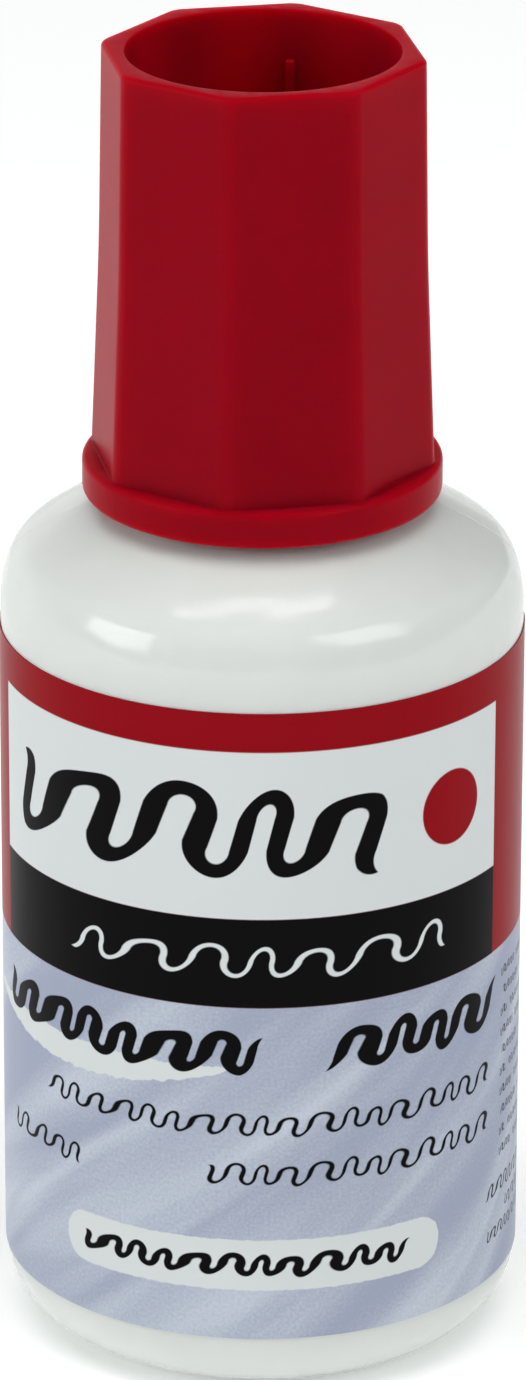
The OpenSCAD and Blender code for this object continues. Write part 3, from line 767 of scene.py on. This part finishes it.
# One filament, 1 mm long and standing on its point, is cut in ten along its length
bpy.ops.object.select_all(action="DESELECT")
bpy.ops.mesh.primitive_cylinder_add(
    vertices=5, radius=strand_r / 1000, depth=0.001, location=(0, 0, 0.0005)
)
strand = bpy.context.object
bpy.ops.object.transform_apply(location=True, rotation=True, scale=True)
bpy.ops.object.mode_set(mode="EDIT")
bpy.ops.mesh.select_all(action="DESELECT")
bpy.ops.mesh.select_mode(type="EDGE")
mesh = bmesh.from_edit_mesh(strand.data)
for side in mesh.edges:
    side.select = abs(side.verts[0].co.z - side.verts[1].co.z) > 0.0005
bmesh.update_edit_mesh(strand.data)
bpy.ops.mesh.subdivide(number_cuts=9)
bpy.ops.mesh.select_mode(type="VERT")
mesh = bmesh.from_edit_mesh(strand.data)
for vert in mesh.verts:
    vert.select = vert.co.z < 0.00001
bmesh.update_edit_mesh(strand.data)
bpy.ops.transform.resize(value=(point, point, 1))
bpy.ops.object.mode_set(mode="OBJECT")

# Each copy is drawn out to its length and stands a golden angle further round, so they fill the tuft
# evenly. The tuft's radius in mm is root_spread at the hole; it grows by belly_spread further down,
# and falls by tip_spread to the end.
golden_angle = 2.399963
root_spread, belly_spread, tip_spread = 1.04, 0.78, 0.22
strands = []
for k in range(strand_count):
    outward = math.sqrt((k + 0.5) / strand_count)
    way = k * golden_angle
    wander = 0.08 * math.sin(k * 12.9898)
    uneven = 0.35 * abs(math.sin(k * 78.233)) * (1 - outward)
    end_z = belly_z - (belly_z - tip_z) * math.sqrt(1 - (outward * 0.95) ** 2) + uneven
    copy = strand.copy()
    copy.data = strand.data.copy()
    bpy.context.scene.collection.objects.link(copy)
    for vert in copy.data.vertices:
        z = end_z + (root_z - end_z) * vert.co.z * 1000
        down = min(1, max(0, (mouth_z - z) / (mouth_z - belly_z)))
        near_tip = max(0, (belly_z - z) / (belly_z - tip_z))
        spread = root_spread + belly_spread * down * down * (3 - 2 * down) - tip_spread * near_tip
        lean = wander * down * (1 - 0.8 * outward)
        vert.co.x += (outward * spread * math.cos(way) + lean) / 1000
        vert.co.y += (outward * spread * math.sin(way) + lean) / 1000
        vert.co.z = z / 1000
    strands.append(copy)
bpy.data.objects.remove(strand)
bpy.ops.object.select_all(action="DESELECT")
for copy in strands:
    copy.select_set(True)
tuft = strands[0]
bpy.context.view_layer.objects.active = tuft
bpy.ops.object.join()
tuft.name = tuft.data.name = "brush_tuft"
bpy.ops.object.shade_smooth_by_angle(angle=math.radians(80))

# Nylon monofilament: pale straw colour, glossy along each strand
filament, tree, place = new_finish("nylon_filament")
lengthwise = add(tree, "ShaderNodeMapping", {"Vector": place, "Scale": (5000.0, 5000.0, 250.0)})
shade = add(tree, "ShaderNodeTexNoise", {"Vector": lengthwise, "Scale": 1.0, "Detail": 1.0})
tone = add(tree, "ShaderNodeMix", {
    share_of: shade, first: linear("#dcd3bb"), second: linear("#f6f2e8"),
}, data_type="RGBA")
nylon = add(tree, "ShaderNodeBsdfPrincipled", {
    "Base Color": tone.outputs[mixed], "Roughness": 0.3, "IOR": 1.53,
})
lay_on(tuft, filament, nylon)
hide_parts("brush_bristles")
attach(tuft, "brush")


# Anchor, a flat piece of brass wire that is punched through the folded tuft into the stem's wall.
# The CAD part stays and gets rolled brass: warm, with fine marks along its length.
brass, tree, place = new_finish("rolled_brass")
along = add(tree, "ShaderNodeMapping", {"Vector": place, "Scale": (600.0, 9000.0, 9000.0)})
marks = add(tree, "ShaderNodeTexNoise", {"Vector": along, "Scale": 1.0, "Detail": 2.0})
rolled = add(tree, "ShaderNodeBump", {"Strength": 0.3, "Distance": 0.00001, "Height": marks})
tone = add(tree, "ShaderNodeMix", {
    share_of: marks, first: linear("#b8923f"), second: linear("#dcbd6a"),
}, data_type="RGBA")
metal = add(tree, "ShaderNodeBsdfPrincipled", {
    "Base Color": tone.outputs[mixed], "Metallic": 1.0, "Roughness": 0.32, "Normal": rolled,
})
lay_on(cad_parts["brush_staple"], brass, metal)


# Correction fluid, white pigment in a quick-drying solvent, filled to about two thirds. Its surface
# climbs a little where it wets the wall.
gap = 0.02
wetted_edge = [(14.98, 31.25), (14.9, 31.2), (14.6, 30.98), (14.1, 30.84), (13.2, 30.78)]
fluid = turned("white_fluid", (
    arc(0, push_z, push_arc + wall + gap, 90, 75.8, 8)
    + arc(*heel, heel_r - wall - gap, -90, 0, 8)
    + wetted_edge
    + [(0, 30.78)]
), 96)

# Wet pigmented solvent: dense white, glossy, with pigment that drifts in faint clouds
wet_white, tree, place = new_finish("pigmented_fluid")
drift = add(tree, "ShaderNodeTexNoise", {
    "Vector": place, "Scale": 180.0, "Detail": 3.0, "Distortion": 0.6,
})
tone = add(tree, "ShaderNodeMix", {
    share_of: drift, first: linear("#eef0ee"), second: linear("#f8f9f8"),
}, data_type="RGBA")
swell = add(tree, "ShaderNodeBump", {"Strength": 0.1, "Distance": 0.0002, "Height": drift})
liquid = add(tree, "ShaderNodeBsdfPrincipled", {
    "Base Color": tone.outputs[mixed],
    "Roughness": 0.12,
    "IOR": 1.4,
    "Subsurface Weight": 0.2,
    "Subsurface Scale": 0.001,
    "Normal": swell,
})
lay_on(fluid, wet_white, liquid)
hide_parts("correction_fluid")
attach(fluid, "flask")


# Mixing ball, hardened steel, 5 mm, that rattles on the floor of the bottle when it is shaken.
# The CAD part stays and gets tumbled steel: bright, with a fine orange-peel and stained patches.
steel, tree, place = new_finish("tumbled_steel")
stains = add(tree, "ShaderNodeTexNoise", {"Vector": place, "Scale": 700.0, "Detail": 3.0})
peel = add(tree, "ShaderNodeTexNoise", {"Vector": place, "Scale": 5000.0, "Detail": 1.0})
dents = add(tree, "ShaderNodeBump", {"Strength": 0.2, "Distance": 0.00001, "Height": peel})
tone = add(tree, "ShaderNodeMix", {
    share_of: stains, first: linear("#a9abad"), second: linear("#c8cacc"),
}, data_type="RGBA")
dull = add(tree, "ShaderNodeMapRange", {"Value": stains, "To Min": 0.12, "To Max": 0.3})
metal = add(tree, "ShaderNodeBsdfPrincipled", {
    "Base Color": tone.outputs[mixed], "Metallic": 1.0, "Roughness": dull, "Normal": dents,
})
lay_on(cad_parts["mixing_ball"], steel, metal)
